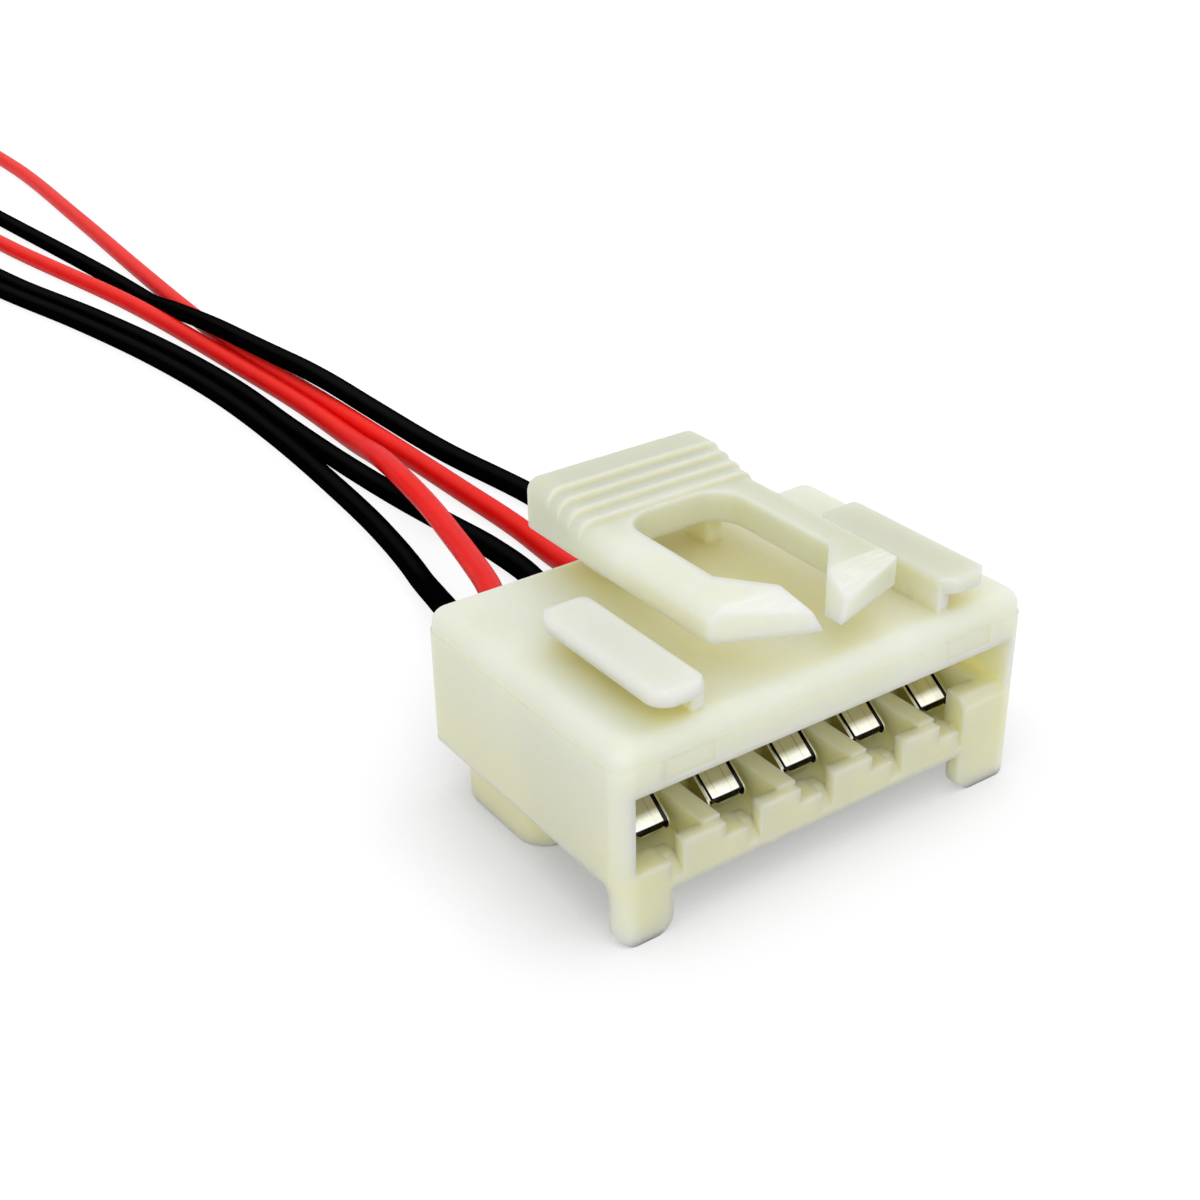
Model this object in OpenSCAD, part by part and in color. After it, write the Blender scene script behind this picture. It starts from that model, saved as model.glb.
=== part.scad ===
// Five-way tail light connector: a moulded nylon housing with a slotted latch lever,
// five sprung strip contacts crimped to their wires, and the five loose wires.
// The open mating face looks along -Y, the wires leave along +Y, +Z is up.
// Depths are measured back from the mating face.

/* [Housing] */
// Spacing of the contacts
pitch = 6; // [5.6:0.1:7]
// From the centre of an end contact to the inside of the side wall
end_margin = 3.4; // [3.2:0.1:4]
// Thickness of the side walls
wall = 1.2; // [0.9:0.1:1.8]
// Depth of the open mating space
mate_d = 10; // [9.5:0.1:12]
// Depth of the block of contact cavities behind the mating space
cavity_d = 12.1; // [11.5:0.1:14]
// Height of the lower jaw above the surface
jaw_lift = 3.15; // [2:0.05:5]
// Thickness of the lower jaw under the contacts
jaw_t = 1.15; // [0.8:0.05:2]
// Height of the ribs between the contacts
rib_h = 2.3; // [2:0.1:2.6]
// Thickness of the ribs
rib_t = 1.3; // [0.9:0.1:1.5]
// Height of the mouth above the ribs
mouth_h = 4.2; // [3.6:0.1:6]
// Height of the roof above the surface
body_h = 14.25; // [13.5:0.05:16]
// Height of the roof above the moulding seam
seam_drop = 1.65; // [1.3:0.05:2.2]
// Step of the housing's sides at the moulding seam
seam_step = 0.1; // [0.05:0.05:0.2]
// How far the side walls end above the underside of the jaw
skirt_lift = 1.1; // [0.5:0.1:2]
// Radius of the outer edges and corners
edge_r = 1.2; // [0.6:0.1:1.6]
// Width of the cavity that holds each contact
cavity_w = 4.4; // [4:0.1:4.7]
// Height of the cavity that holds each contact
cavity_h = 4.4; // [4.1:0.1:5.5]

/* [Jaw comb] */
// How far the comb is set off to the left of the contacts
comb_shift = 0.3; // [0:0.05:0.35]
// Width of the probe slot in front of each contact
slot_w = 1; // [0.6:0.1:1.6]
// Height of the low stop beside the slot, above the jaw floor
low_stop_h = 0.9; // [0.4:0.1:1.5]
// Depth of the low stop
low_stop_d = 2.1; // [1.4:0.1:2.3]
// Height of the high stop beside the slot, above the jaw floor
high_stop_h = 2; // [1.2:0.1:2]
// Depth of the high stop
high_stop_d = 1; // [0.6:0.1:1.4]
// How far the ribs are set back from the mating face
rib_setback = 0.6; // [0.2:0.1:0.9]
// Height of the slot's sill at the back, above the jaw floor
sill_h = 0.7; // [0.3:0.1:0.8]
// Drop of the slot's sill to the mating face
sill_drop = 1.25; // [0.4:0.05:1.4]
// Height of the keying block at the end of the row, above the jaw floor
key_h = 3.1; // [2.6:0.1:3.6]
// Depth of the keying block
key_d = 1.85; // [1.4:0.05:2.3]
// Chamfer on the keying block's front edge
key_chamfer = 0.65; // [0.2:0.05:1]

/* [Feet] */
// Width of the left front foot
foot_w = 4; // [3:0.1:4.4]
// Width of the right front foot, under the keying block
key_foot_w = 5; // [4:0.1:5.4]
// Thickness of the front corner feet
foot_t = 1.2; // [0.8:0.1:2]
// Radius of the feet's lower corners
foot_r = 1.3; // [0.5:0.1:1.5]
// Radius of the fillet behind the feet
foot_fillet = 0.7; // [0.3:0.1:1]
// Depth at which the rear block starts
block_front = 11; // [8:0.5:13]
// How far the rear block stops short of the rear face
block_inset = 1.3; // [0.5:0.1:3]
// Radius of the rear block's corners and lower edges
block_r = 2.4; // [1:0.1:2.8]

/* [Guard rails] */
// Width of the rail's top plate
rail_w = 3.85; // [3:0.05:5]
// Thickness of the rail's top plate
rail_t = 1; // [0.7:0.1:1.5]
// Height of the rail's top plate above the roof
rail_gap = 1.4; // [1:0.05:2.5]
// Depth at which the rail starts
rail_front = 0.55; // [0:0.05:2]
// Length of the rail
rail_l = 12.85; // [8:0.05:18]
// How far the rail stays inside the housing's side
rail_inset = 3.25; // [2:0.05:3.5]
// Thickness of the web under the rail
rail_web = 0.9; // [0.6:0.1:1.4]
// Radius of the rail's corners
rail_r = 1.4; // [0.6:0.1:1.8]
// Depth of the shallow panel in the lip under each rail
panel_d = 0.15; // [0.1:0.05:0.3]
// Height of the panel's lower edge above the mouth
panel_lift = 0.5; // [0.3:0.1:0.9]

/* [Latch] */
// Width of the latch lever
latch_w = 14.5; // [12:0.1:15]
// Gap between the lever and the roof
latch_gap = 2.3; // [1.5:0.05:3]
// Thickness of the lever
latch_t = 2.3; // [1.8:0.1:4]
// Radius of the lever's side edges and of the thumb pad's corners
latch_r = 1.1; // [0.6:0.1:1.2]
// How far the thumb pad stands behind the housing
pad_over = 2.2; // [1:0.1:4]
// Length of the thumb pad
pad_l = 6.9; // [6:0.1:8]
// Number of grip steps on the thumb pad
pad_steps = 4; // [3:1:5]
// Spacing of the grip steps
step_pitch = 1.22; // [1:0.02:1.4]
// Rise of each grip step
step_rise = 0.33; // [0.2:0.01:0.5]
// Depth at which the lever's tip starts
tip_front = 0.6; // [0.5:0.05:2]
// Mean depth of the lever's outer front corners
tip_corner = 3.25; // [2.4:0.05:4]
// How far the lever's left hook is set back and its right hook forward, at their outer ends
tip_skew = 0.45; // [0:0.05:0.5]
// Radius of the lever's outer front corners
tip_r = 0.7; // [0.4:0.1:2]
// Length of the lead-in ramp on the tip
ramp_l = 3.15; // [1.5:0.05:3.4]
// Drop of the lead-in ramp
ramp_drop = 1; // [0.5:0.05:1.6]
// Width of the slot in the lever
window_w = 8.7; // [7:0.1:9.2]
// Radius of the slot's rear corners
window_r = 2.4; // [1:0.1:3.4]
// Length over which the slot narrows to the gap between the hooks
hook_l = 4.35; // [3:0.05:6]
// Gap between the two hooks at the lever's underside
hook_gap = 1.3; // [0.6:0.1:1.6]
// Gap between the two hooks at the lever's top
hook_flare = 3.6; // [2:0.1:4.2]
// Length of the gap between the two hooks
hook_d = 1.7; // [0.8:0.05:2]
// Thickness of the bar between the slot and the thumb pad
pad_bar = 0.35; // [0.2:0.05:1]
// Thickness of the legs under the lever
leg_t = 1.3; // [0.8:0.1:1.6]
// Length of the legs under the lever
leg_l = 3; // [2:0.1:3.2]
// Depth at which the legs start
leg_front = 17.6; // [16:0.1:17.8]

/* [Contacts] */
// Thickness of the contact strip
strip_t = 0.3; // [0.2:0.05:0.4]
// Width of the sprung leaf
leaf_w = 2.55; // [2.2:0.05:2.7]
// Mean gap between the leaf and the side plates
leaf_gap = 0.3; // [0.2:0.05:0.35]
// How far the leaf is set off to the left between the side plates
leaf_shift = 0.15; // [0:0.05:0.15]
// Radius of the rolled nose, to the middle of the strip
nose_r = 0.5; // [0.4:0.05:0.6]
// Height of the nose's underside above the jaw floor
nose_lift = 0.65; // [0.4:0.05:0.8]
// How far the strip is rolled back under the nose, in degrees
nose_roll = 45; // [20:5:80]
// Clearance between the nose and the low stop
contact_clear = 0.4; // [0.2:0.05:0.6]
// Slope of the leaf behind the nose, in degrees
leaf_rise = 39; // [34:1:42]
// Slope of the leaf behind its crown, in degrees
leaf_fall = 35; // [30:1:40]
// Radius of the leaf's crown
crown_r = 3; // [2.4:0.1:3.4]
// Length of the leaf's straight rise
rise_l = 1.7; // [1.3:0.05:2]
// How far the side plates stand out round the nose
cheek_rim = 0.1; // [0.05:0.05:0.15]
// How far the base is set back from the nose
base_back = 1.7; // [1.5:0.05:2]
// Height of the side plates
cheek_h = 2.9; // [2.4:0.1:3.3]
// Length of the neck between the box and the crimps
neck_l = 1; // [0.6:0.1:1.5]
// Length of the conductor crimp
core_crimp_l = 2.6; // [2:0.1:3]
// Gap between the two crimps
crimp_gap = 1; // [0.6:0.1:1.2]
// Length of the insulation crimp
wire_crimp_l = 2.2; // [1.8:0.1:2.6]

/* [Wires] */
// Outside diameter of the insulation
wire_dia = 2; // [1.6:0.1:2.2]
// Diameter of the stripped conductor
core_dia = 1.1; // [0.8:0.05:1.3]
// Clearance between the crimps and what they hold
crimp_clear = 0.05; // [0.02:0.01:0.1]
// Length of the stripped end
tail_l = 5; // [3:0.5:8]

/* [Hidden] */
$fn = 48;
ways = 5;

nylon = [0.87, 0.89, 0.79];
tin = [0.80, 0.80, 0.78];
copper = [0.78, 0.48, 0.30];
red = [0.85, 0.08, 0.07];
black = [0.05, 0.05, 0.05];
wire_colours = [black, red, black, red, black];

// Room by which a cut runs past the face that it opens
past = 1;

inner_w = (ways - 1) * pitch + 2 * end_margin;
body_w = inner_w + 2 * wall;
body_d = mate_d + cavity_d;
front_y = -(body_d + pad_over) / 2;
skirt_z = jaw_lift + skirt_lift;
floor_z = jaw_lift + jaw_t;
rib_z = floor_z + rib_h;
mouth_z = rib_z + mouth_h;
roof_z = body_h;
seam_z = roof_z - seam_drop;
lever_z = roof_z + latch_gap;
lever_top = lever_z + latch_t;
rail_z = roof_z + rail_gap;

latch_rear = body_d + pad_over;
pad_front = latch_rear - pad_l;
pad_top = lever_top + pad_steps * step_rise;
window_rear = pad_front - pad_bar;
hook_front = tip_front + hook_d;
function window_front(side) = hook_front + hook_l - side * tip_skew;
tip_x = latch_w / 2 - tip_r;
function tip_lean(side) = atan((tip_corner - side * tip_skew - tip_front) / (latch_w / 2));
function tip_d(side) = tip_front + tip_x * tan(tip_lean(side)) + tip_r / cos(tip_lean(side));
function corner_start(side) =
    [side * (tip_x + tip_r * sin(tip_lean(side))), tip_d(side) - tip_r * cos(tip_lean(side))];
rail_x = body_w / 2 - rail_inset;

// Middle line of the leaf: round the nose, up, over the crown and down to the base
box_w = leaf_w + 2 * leaf_gap + 2 * strip_t;
nose_front = low_stop_d + contact_clear;
nose_d = nose_front + nose_r + strip_t / 2;
nose_z = floor_z + nose_lift + nose_r + strip_t / 2;
base_d = nose_front + base_back;
base_z = floor_z + strip_t / 2;
nose_steps = 10;
crown_steps = 8;
function nose_slope(i) = 180 + nose_roll - (180 + nose_roll - leaf_rise) * i / nose_steps;
function nose_point(slope) = [nose_d - nose_r * sin(slope), nose_z + nose_r * cos(slope)];
function crown_slope(i) = leaf_rise - (leaf_rise + leaf_fall) * i / crown_steps;
rise_end = nose_point(leaf_rise) + rise_l * [cos(leaf_rise), sin(leaf_rise)];
function crown_point(slope) =
    rise_end + crown_r * [sin(leaf_rise) - sin(slope), cos(slope) - cos(leaf_rise)];
crown_end = crown_point(-leaf_fall);
fall_end = [crown_end[0] + (crown_end[1] - base_z) / tan(leaf_fall), base_z];

// The contact's crimps follow behind the leaf, and the wire lies in them
box_rear = fall_end[0] + strip_t;
core_crimp_d = box_rear + neck_l;
wire_crimp_d = core_crimp_d + core_crimp_l + crimp_gap;
contact_rear = wire_crimp_d + wire_crimp_l;
wire_z = floor_z + strip_t + crimp_clear + wire_dia / 2;
wire_front = wire_crimp_d - crimp_gap / 2;
core_front = core_crimp_d - neck_l / 2;

function way_x(k) = (k - (ways + 1) / 2) * pitch;

// The comb stays clear of the contacts on its near side
comb_room = (pitch - rib_t - box_w) / 2 - contact_clear / 4;
function comb_x(k) = way_x(k) - min(comb_shift, comb_room);

// The wires' routes behind the housing: straight out, down to the surface, then along it
ROUTES = [
    [[-11.6, 14, 5.6], [-8.9, 19.5, 5], [-6.6, 24.5, 3.7], [-4.7, 29.5, 2], [-3, 36, 1], [-1.5, 45, 1],
        [-0.4, 57, 1], [0.3, 70, 1], [0.3, 84, 1], [-0.9, 98, 1], [-3.6, 115, 1], [-7.1, 132, 1],
        [-9.8, 155, 1], [-10.3, 190, 1], [-10.3, 206, 1]],
    [[-6, 15, 5.6], [-4.7, 20, 5.3], [-2.8, 25, 4.9], [-1.2, 30, 4.3], [0.5, 36, 3.7], [2.2, 43, 3.3],
        [3.4, 50, 3.1], [4.6, 56, 2.4], [5.7, 63, 1.2], [6.1, 74, 1], [5.5, 90, 1], [4, 115, 1],
        [-0.7, 150, 1], [-3.3, 190, 1], [-3.3, 208, 1]],
    [[0, 14, 5], [1.1, 19, 3.4], [2.7, 24, 1.8], [4.3, 29, 1], [4.6, 36, 1], [3.9, 43, 1], [3.2, 50, 1],
        [2.6, 60, 1], [2.4, 70, 1], [2.4, 84, 1], [1.3, 98, 1], [-1.3, 115, 1], [-4.8, 132, 1],
        [-7.3, 190, 1], [-7.3, 207, 1]],
    [[6, 15, 5.1], [6.6, 20, 3.8], [7.3, 26, 2.1], [8, 31, 1.1], [8.5, 38, 1], [8.5, 48, 1],
        [8.4, 60, 1], [8.2, 72, 1], [7.8, 84, 1], [7.6, 96, 1], [8.1, 108, 1], [9.3, 126, 1],
        [11.5, 155, 1], [13.5, 190, 1], [13.5, 208, 1]],
    [[11.9, 15, 5.2], [12.5, 20, 4.1], [13.1, 26, 2.4], [13.4, 32, 1.1], [13.1, 44, 1], [11.6, 57, 1.1],
        [10.1, 69, 2.1], [9.1, 76, 2.85], [8.3, 82, 3.1], [7.4, 90, 3.05], [6.7, 98, 2.9], [6.2, 108, 2.05],
        [6, 117, 1], [1.7, 190, 1], [1.7, 207, 1]],
];
function route(k) = concat(
    [[way_x(k), front_y + wire_front, wire_z], [way_x(k), front_y + body_d, wire_z]], ROUTES[k - 1]);
function far_end(k) = ROUTES[k - 1][len(ROUTES[k - 1]) - 1];

// Plan and profile outlines

module round_rect(w, d, r) {
    square([w - 2 * r, d], center = true);
    square([w, d - 2 * r], center = true);
    for (sx = [-1, 1], sy = [-1, 1])
        translate([sx * (w / 2 - r), sy * (d / 2 - r)]) circle(r);
}

module domed_rect(w, h, r) {
    translate([-w / 2, 0]) square([w, h - r]);
    translate([r - w / 2, 0]) square([w - 2 * r, h]);
    for (sx = [-1, 1])
        translate([sx * (w / 2 - r), h - r]) circle(r);
}

// An outline in depth and height, drawn out across the width
module depth_prism(x0, x1) {
    translate([x0, 0, 0]) rotate([90, 0, 90]) linear_extrude(x1 - x0) children();
}

// An outline in width and height, drawn out over the depth
module width_prism(d0, d1) {
    translate([0, d1, 0]) rotate([90, 0, 0]) linear_extrude(d1 - d0) children();
}

// A plan outline drawn up into a block with rounded top edges
module soft_plan(w, d0, d1, z0, z1, top_r) {
    intersection() {
        translate([0, 0, z0]) linear_extrude(z1 - z0) children();
        width_prism(d0, d1) translate([0, z0]) domed_rect(w, z1 - z0, top_r);
        depth_prism(-w / 2, w / 2) translate([(d0 + d1) / 2, z0]) domed_rect(d1 - d0, z1 - z0, top_r);
    }
}

// A block with rounded upright corners and rounded top edges
module soft_block(w, d0, d1, z0, z1, plan_r, top_r) {
    soft_plan(w, d0, d1, z0, z1, top_r) translate([0, (d0 + d1) / 2]) round_rect(w, d1 - d0, plan_r);
}

// A block with upright corners, top edges and top corners of one radius
module ball_block(w, d0, d1, z0, z1, r) {
    mid = (d0 + d1) / 2;
    translate([0, mid, z0]) linear_extrude(z1 - r - z0) round_rect(w, d1 - d0, r);
    translate([r - w / 2, d0 + r, z0]) cube([w - 2 * r, d1 - d0 - 2 * r, z1 - z0]);
    for (side = [-1, 1]) {
        translate([side * (w / 2 - r), d0 + r, z1 - r])
            rotate([-90, 0, 0]) cylinder(h = d1 - d0 - 2 * r, r = r);
        translate([r - w / 2, mid + side * ((d1 - d0) / 2 - r), z1 - r])
            rotate([0, 90, 0]) cylinder(h = w - 2 * r, r = r);
        for (end = [d0 + r, d1 - r]) translate([side * (w / 2 - r), end, z1 - r]) sphere(r);
    }
}

module span(x0, x1, d0, d1, z0, z1) {
    translate([x0, d0, z0]) cube([x1 - x0, d1 - d0, z1 - z0]);
}

module placed() {
    translate([0, front_y, 0]) children();
}

// Housing

module shell() {
    translate([0, body_d / 2, skirt_z]) linear_extrude(seam_z - skirt_z) round_rect(body_w, body_d, edge_r);
    ball_block(body_w - 2 * seam_step, seam_step, body_d - seam_step, skirt_z, roof_z, edge_r);
    span(-inner_w / 2, inner_w / 2, 0, body_d, jaw_lift, rib_z);
}

module foot_outline(w) {
    translate([body_w / 2 - w / 2, skirt_z + edge_r]) rotate(180) domed_rect(w, skirt_z + edge_r, foot_r);
}

module feet() {
    intersection() {
        translate([0, body_d / 2, 0]) linear_extrude(roof_z) round_rect(body_w, body_d, edge_r);
        for (side = [0, 1])
            mirror([side, 0, 0]) {
                width_prism(0, foot_t) foot_outline(side == 0 ? key_foot_w : foot_w);
                depth_prism(inner_w / 2, body_w / 2) translate([foot_t, skirt_z])
                    difference() {
                        translate([-foot_t / 2, -foot_fillet])
                            square([foot_fillet + foot_t / 2, 2 * foot_fillet]);
                        translate([foot_fillet, -foot_fillet]) circle(foot_fillet);
                    }
            }
    }
}

module rear_block() {
    translate([0, 0, floor_z]) mirror([0, 0, 1])
        ball_block(inner_w, block_front, body_d - block_inset, 0, floor_z, block_r);
}

module rail() {
    translate([rail_x - rail_w / 2, 0, 0])
        soft_block(rail_w, rail_front, rail_front + rail_l, rail_z, rail_z + rail_t, rail_r, rail_t * 0.4);
    span(rail_x - rail_w, rail_x - rail_w + rail_web, rail_front + rail_r / 2, rail_front + rail_l - rail_r,
        roof_z - edge_r, rail_z + rail_t / 2);
}

module window_outline() {
    window_mid = (window_front(-1) + window_rear) / 2;
    translate([0, window_mid]) round_rect(window_w, window_rear - window_front(-1), window_r);
    polygon([[-window_w / 2, window_mid], [-window_w / 2, window_front(-1)], [-hook_gap / 2, hook_front],
        [-hook_gap / 2, -past], [hook_gap / 2, -past], [hook_gap / 2, hook_front],
        [window_w / 2, window_front(1)], [window_w / 2, window_mid]]);
}

// The gap between the hooks seen from the front, wider at the top
module flare_outline() {
    polygon([[-hook_gap / 2, lever_z - past], [hook_gap / 2, lever_z - past], [hook_gap / 2, lever_z],
        [hook_flare / 2, lever_top], [hook_flare / 2, lever_top + past], [-hook_flare / 2, lever_top + past],
        [-hook_flare / 2, lever_top], [-hook_gap / 2, lever_z]]);
}

// The lever up to the thumb pad seen from above, with its front drawn to a shallow point
module lever_outline() {
    rear_d = pad_front + 2 * latch_r;
    polygon([[0, tip_front], corner_start(1), [latch_w / 2, tip_d(1)], [latch_w / 2, rear_d],
        [-latch_w / 2, rear_d], [-latch_w / 2, tip_d(-1)], corner_start(-1)]);
    for (side = [-1, 1])
        translate([side * tip_x, tip_d(side)]) circle(tip_r);
}

// The thumb pad, with its grip steps up to a plateau at the rear
module thumb_pad() {
    plateau_d = pad_front + (pad_steps - 1) * step_pitch;
    for (i = [1 : pad_steps - 1])
        width_prism(pad_front + (i - 1) * step_pitch, plateau_d + step_pitch / 2)
            translate([0, lever_z]) domed_rect(latch_w, latch_t + i * step_rise, latch_r);
    difference() {
        ball_block(latch_w, pad_front - 3 * latch_r, latch_rear, lever_z, pad_top, latch_r);
        span(-latch_w, latch_w, pad_front - 4 * latch_r, plateau_d, lever_z - past, pad_top + past);
    }
}

module lever() {
    ramp_d = tip_front + ramp_l;
    ramp_z = lever_top - ramp_drop;
    difference() {
        union() {
            intersection() {
                translate([0, 0, lever_z]) linear_extrude(latch_t) lever_outline();
                width_prism(0, latch_rear) translate([0, lever_z]) domed_rect(latch_w, latch_t, latch_r);
            }
            thumb_pad();
        }
        translate([0, 0, lever_z - past]) linear_extrude(latch_t + 2 * past) window_outline();
        width_prism(-past, hook_front + hook_l / 2) flare_outline();
        depth_prism(-latch_w, latch_w)
            polygon([[ramp_d, lever_top], [ramp_d, lever_top + past], [tip_front - past, lever_top + past],
                [tip_front - past, ramp_z - ramp_drop * past / ramp_l]]);
    }
}

module legs() {
    for (side = [-1, 1])
        translate([side * window_w / 2, leg_front + leg_l / 2, roof_z - edge_r])
            linear_extrude(latch_gap + edge_r + latch_t / 4) round_rect(leg_t, leg_l, leg_t * 0.4);
}

// The keying block at the right end of the row, and the ledge that runs back from it
module key_block() {
    key_z = floor_z + key_h;
    key_x = comb_x(ways);
    depth_prism(key_x, inner_w / 2)
        polygon([[0, jaw_lift], [0, key_z - key_chamfer], [key_chamfer, key_z], [key_d, key_z],
            [key_d, jaw_lift]]);
    span(key_x + (pitch - rib_t) / 2, inner_w / 2, key_chamfer, mate_d, jaw_lift, key_z);
}

// The comb of slots and stops in front of one contact
module comb_cut(k) {
    x = comb_x(k);
    left_x = k == 1 ? -inner_w / 2 : x - (pitch - rib_t) / 2;
    right_x = x + (pitch - rib_t) / 2;
    top_z = rib_z + mouth_h / 2;
    span(left_x, x - slot_w / 2, -past, low_stop_d + past, floor_z + low_stop_h, top_z);
    span(left_x, right_x, low_stop_d, mate_d, floor_z, top_z);
    span(x + slot_w / 2, right_x, -past, high_stop_d + past, floor_z + high_stop_h, top_z);
    span(x + slot_w / 2, right_x, high_stop_d, low_stop_d + past, floor_z, top_z);
    depth_prism(x - slot_w / 2, x + slot_w / 2)
        polygon([[-past, floor_z + sill_h - sill_drop], [0, floor_z + sill_h - sill_drop],
            [high_stop_d, floor_z + sill_h], [low_stop_d + past, floor_z + sill_h],
            [low_stop_d + past, top_z], [-past, top_z]]);
}

// The shallow panels in the lip under the rails
module panel_cuts() {
    panel_z = min(mouth_z + panel_lift, seam_z - panel_d);
    for (side = [0, 1])
        mirror([side, 0, 0]) span(rail_x - rail_w, rail_x, -past, panel_d, panel_z, seam_z);
}

module mouth_cuts() {
    difference() {
        union() {
            span(-inner_w / 2, inner_w / 2, -past, mate_d, rib_z, mouth_z);
            span(-inner_w / 2, inner_w / 2, -past, rib_setback, floor_z + high_stop_h, mouth_z);
            for (k = [1 : ways]) comb_cut(k);
        }
        key_block();
    }
    for (k = [1 : ways])
        span(way_x(k) - cavity_w / 2, way_x(k) + cavity_w / 2, mate_d - past, body_d + past,
            floor_z, floor_z + cavity_h);
}

module housing() {
    color(nylon) placed() difference() {
        union() {
            shell();
            feet();
            rear_block();
            for (side = [0, 1]) mirror([side, 0, 0]) rail();
            legs();
            lever();
        }
        mouth_cuts();
        panel_cuts();
    }
}

// Contacts

leaf_slopes = concat(
    [for (i = [0 : nose_steps]) nose_slope(i)], [for (i = [0 : crown_steps]) crown_slope(i)], [-leaf_fall]);
leaf_line = concat(
    [for (i = [0 : nose_steps]) nose_point(nose_slope(i))],
    [for (i = [0 : crown_steps]) crown_point(crown_slope(i))],
    [fall_end]);
function leaf_side(i, out) = leaf_line[i] + out * strip_t / 2 * [-sin(leaf_slopes[i]), cos(leaf_slopes[i])];

module leaf_outline() {
    last = len(leaf_line) - 1;
    polygon(concat([for (i = [0 : last]) leaf_side(i, 1)], [for (i = [last : -1 : 0]) leaf_side(i, -1)]));
}

// The side plates run round the nose and up beside the leaf, and step down to the neck
module cheek_outline() {
    rim_r = nose_r + strip_t / 2 + cheek_rim;
    top_z = floor_z + cheek_h;
    low_z = floor_z + cheek_h * 0.6;
    rim = [for (i = [0 : nose_steps])
        let (slope = 180 - (180 - leaf_rise) * i / nose_steps)
        [nose_d - rim_r * sin(slope), nose_z + rim_r * cos(slope)]];
    rim_end = rim[nose_steps];
    top_d = rim_end[0] + (top_z - rim_end[1]) / tan(leaf_rise);
    polygon(concat([[base_d, floor_z]], rim, [[top_d, top_z], [box_rear - 2 * neck_l, top_z],
        [box_rear - neck_l, low_z], [box_rear, low_z], [box_rear, floor_z]]));
}

// A crimp closed round a bar, on a saddle that stands on the strip, with its seam on top
module crimp(d0, length, bar_r) {
    r = bar_r + crimp_clear;
    difference() {
        union() {
            translate([0, d0, wire_z]) rotate([-90, 0, 0]) cylinder(h = length, r = r + strip_t);
            span(-bar_r, bar_r, d0, d0 + length, floor_z, wire_z);
        }
        translate([0, d0 - past, wire_z]) rotate([-90, 0, 0]) cylinder(h = length + 2 * past, r = r);
        span(-strip_t / 4, strip_t / 4, d0 - past, d0 + length + past, wire_z, wire_z + r + 2 * strip_t);
    }
}

module contact(k) {
    color(tin) placed() translate([way_x(k), 0, 0]) {
        span(-box_w / 2, box_w / 2, base_d, box_rear, floor_z, floor_z + strip_t);
        span(-core_dia / 2, core_dia / 2, box_rear - strip_t, contact_rear, floor_z, floor_z + strip_t);
        translate([-leaf_shift, 0, 0]) depth_prism(-leaf_w / 2, leaf_w / 2) leaf_outline();
        for (side = [0, 1])
            mirror([side, 0, 0]) depth_prism(box_w / 2 - strip_t, box_w / 2) cheek_outline();
        crimp(core_crimp_d, core_crimp_l, core_dia / 2);
        crimp(wire_crimp_d, wire_crimp_l, wire_dia / 2);
    }
}

// Wires

// The stripped conductor at both ends of a wire
module core(k) {
    color(copper) {
        placed() translate([way_x(k), core_front, wire_z]) rotate([-90, 0, 0])
            cylinder(h = wire_front - core_front, d = core_dia);
        translate(far_end(k)) rotate([-90, 0, 0]) cylinder(h = tail_l, d = core_dia);
    }
}

tube_sides = 8;
function unit(v) = v / norm(v);
function heading(points, i) =
    unit(points[min(i + 1, len(points) - 1)] - points[max(i - 1, 0)]);
// Both ends are cut square across the wire's straight run
function ring_heading(points, i) = i < 2 || i > len(points) - 3 ? [0, 1, 0] : heading(points, i);
function ring(points, i) =
    let (ahead = ring_heading(points, i), side = unit(cross(ahead, [0, 0, 1])), up = cross(side, ahead))
    [for (s = [0 : tube_sides - 1])
        let (turn = 360 * (s + 0.5) / tube_sides)
        points[i] + wire_dia / 2 * (cos(turn) * side + sin(turn) * up)];

module tube(points) {
    last = len(points) - 1;
    corners = [for (i = [0 : last]) each ring(points, i)];
    sides = [for (i = [0 : last - 1], s = [0 : tube_sides - 1])
        let (next = (s + 1) % tube_sides)
        [i * tube_sides + s, i * tube_sides + next, (i + 1) * tube_sides + next, (i + 1) * tube_sides + s]];
    front_cap = [for (s = [tube_sides - 1 : -1 : 0]) s];
    rear_cap = [for (s = [0 : tube_sides - 1]) last * tube_sides + s];
    polyhedron(corners, concat(sides, [front_cap, rear_cap]), convexity = 6);
}

module wire(k) {
    color(wire_colours[k - 1]) tube(route(k));
}

housing();
contact(1);  // contact_1
contact(2);  // contact_2
contact(3);  // contact_3
contact(4);  // contact_4
contact(5);  // contact_5
core(1);  // core_1
core(2);  // core_2
core(3);  // core_3
core(4);  // core_4
core(5);  // core_5
wire(1);  // wire_1
wire(2);  // wire_2
wire(3);  // wire_3
wire(4);  // wire_4
wire(5);  // wire_5
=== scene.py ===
"""Tail light connector: nylon housing, sprung contacts and a pigtail of five wires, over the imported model."""
import math
import bmesh
import bpy
from mathutils import Matrix, Vector


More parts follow.
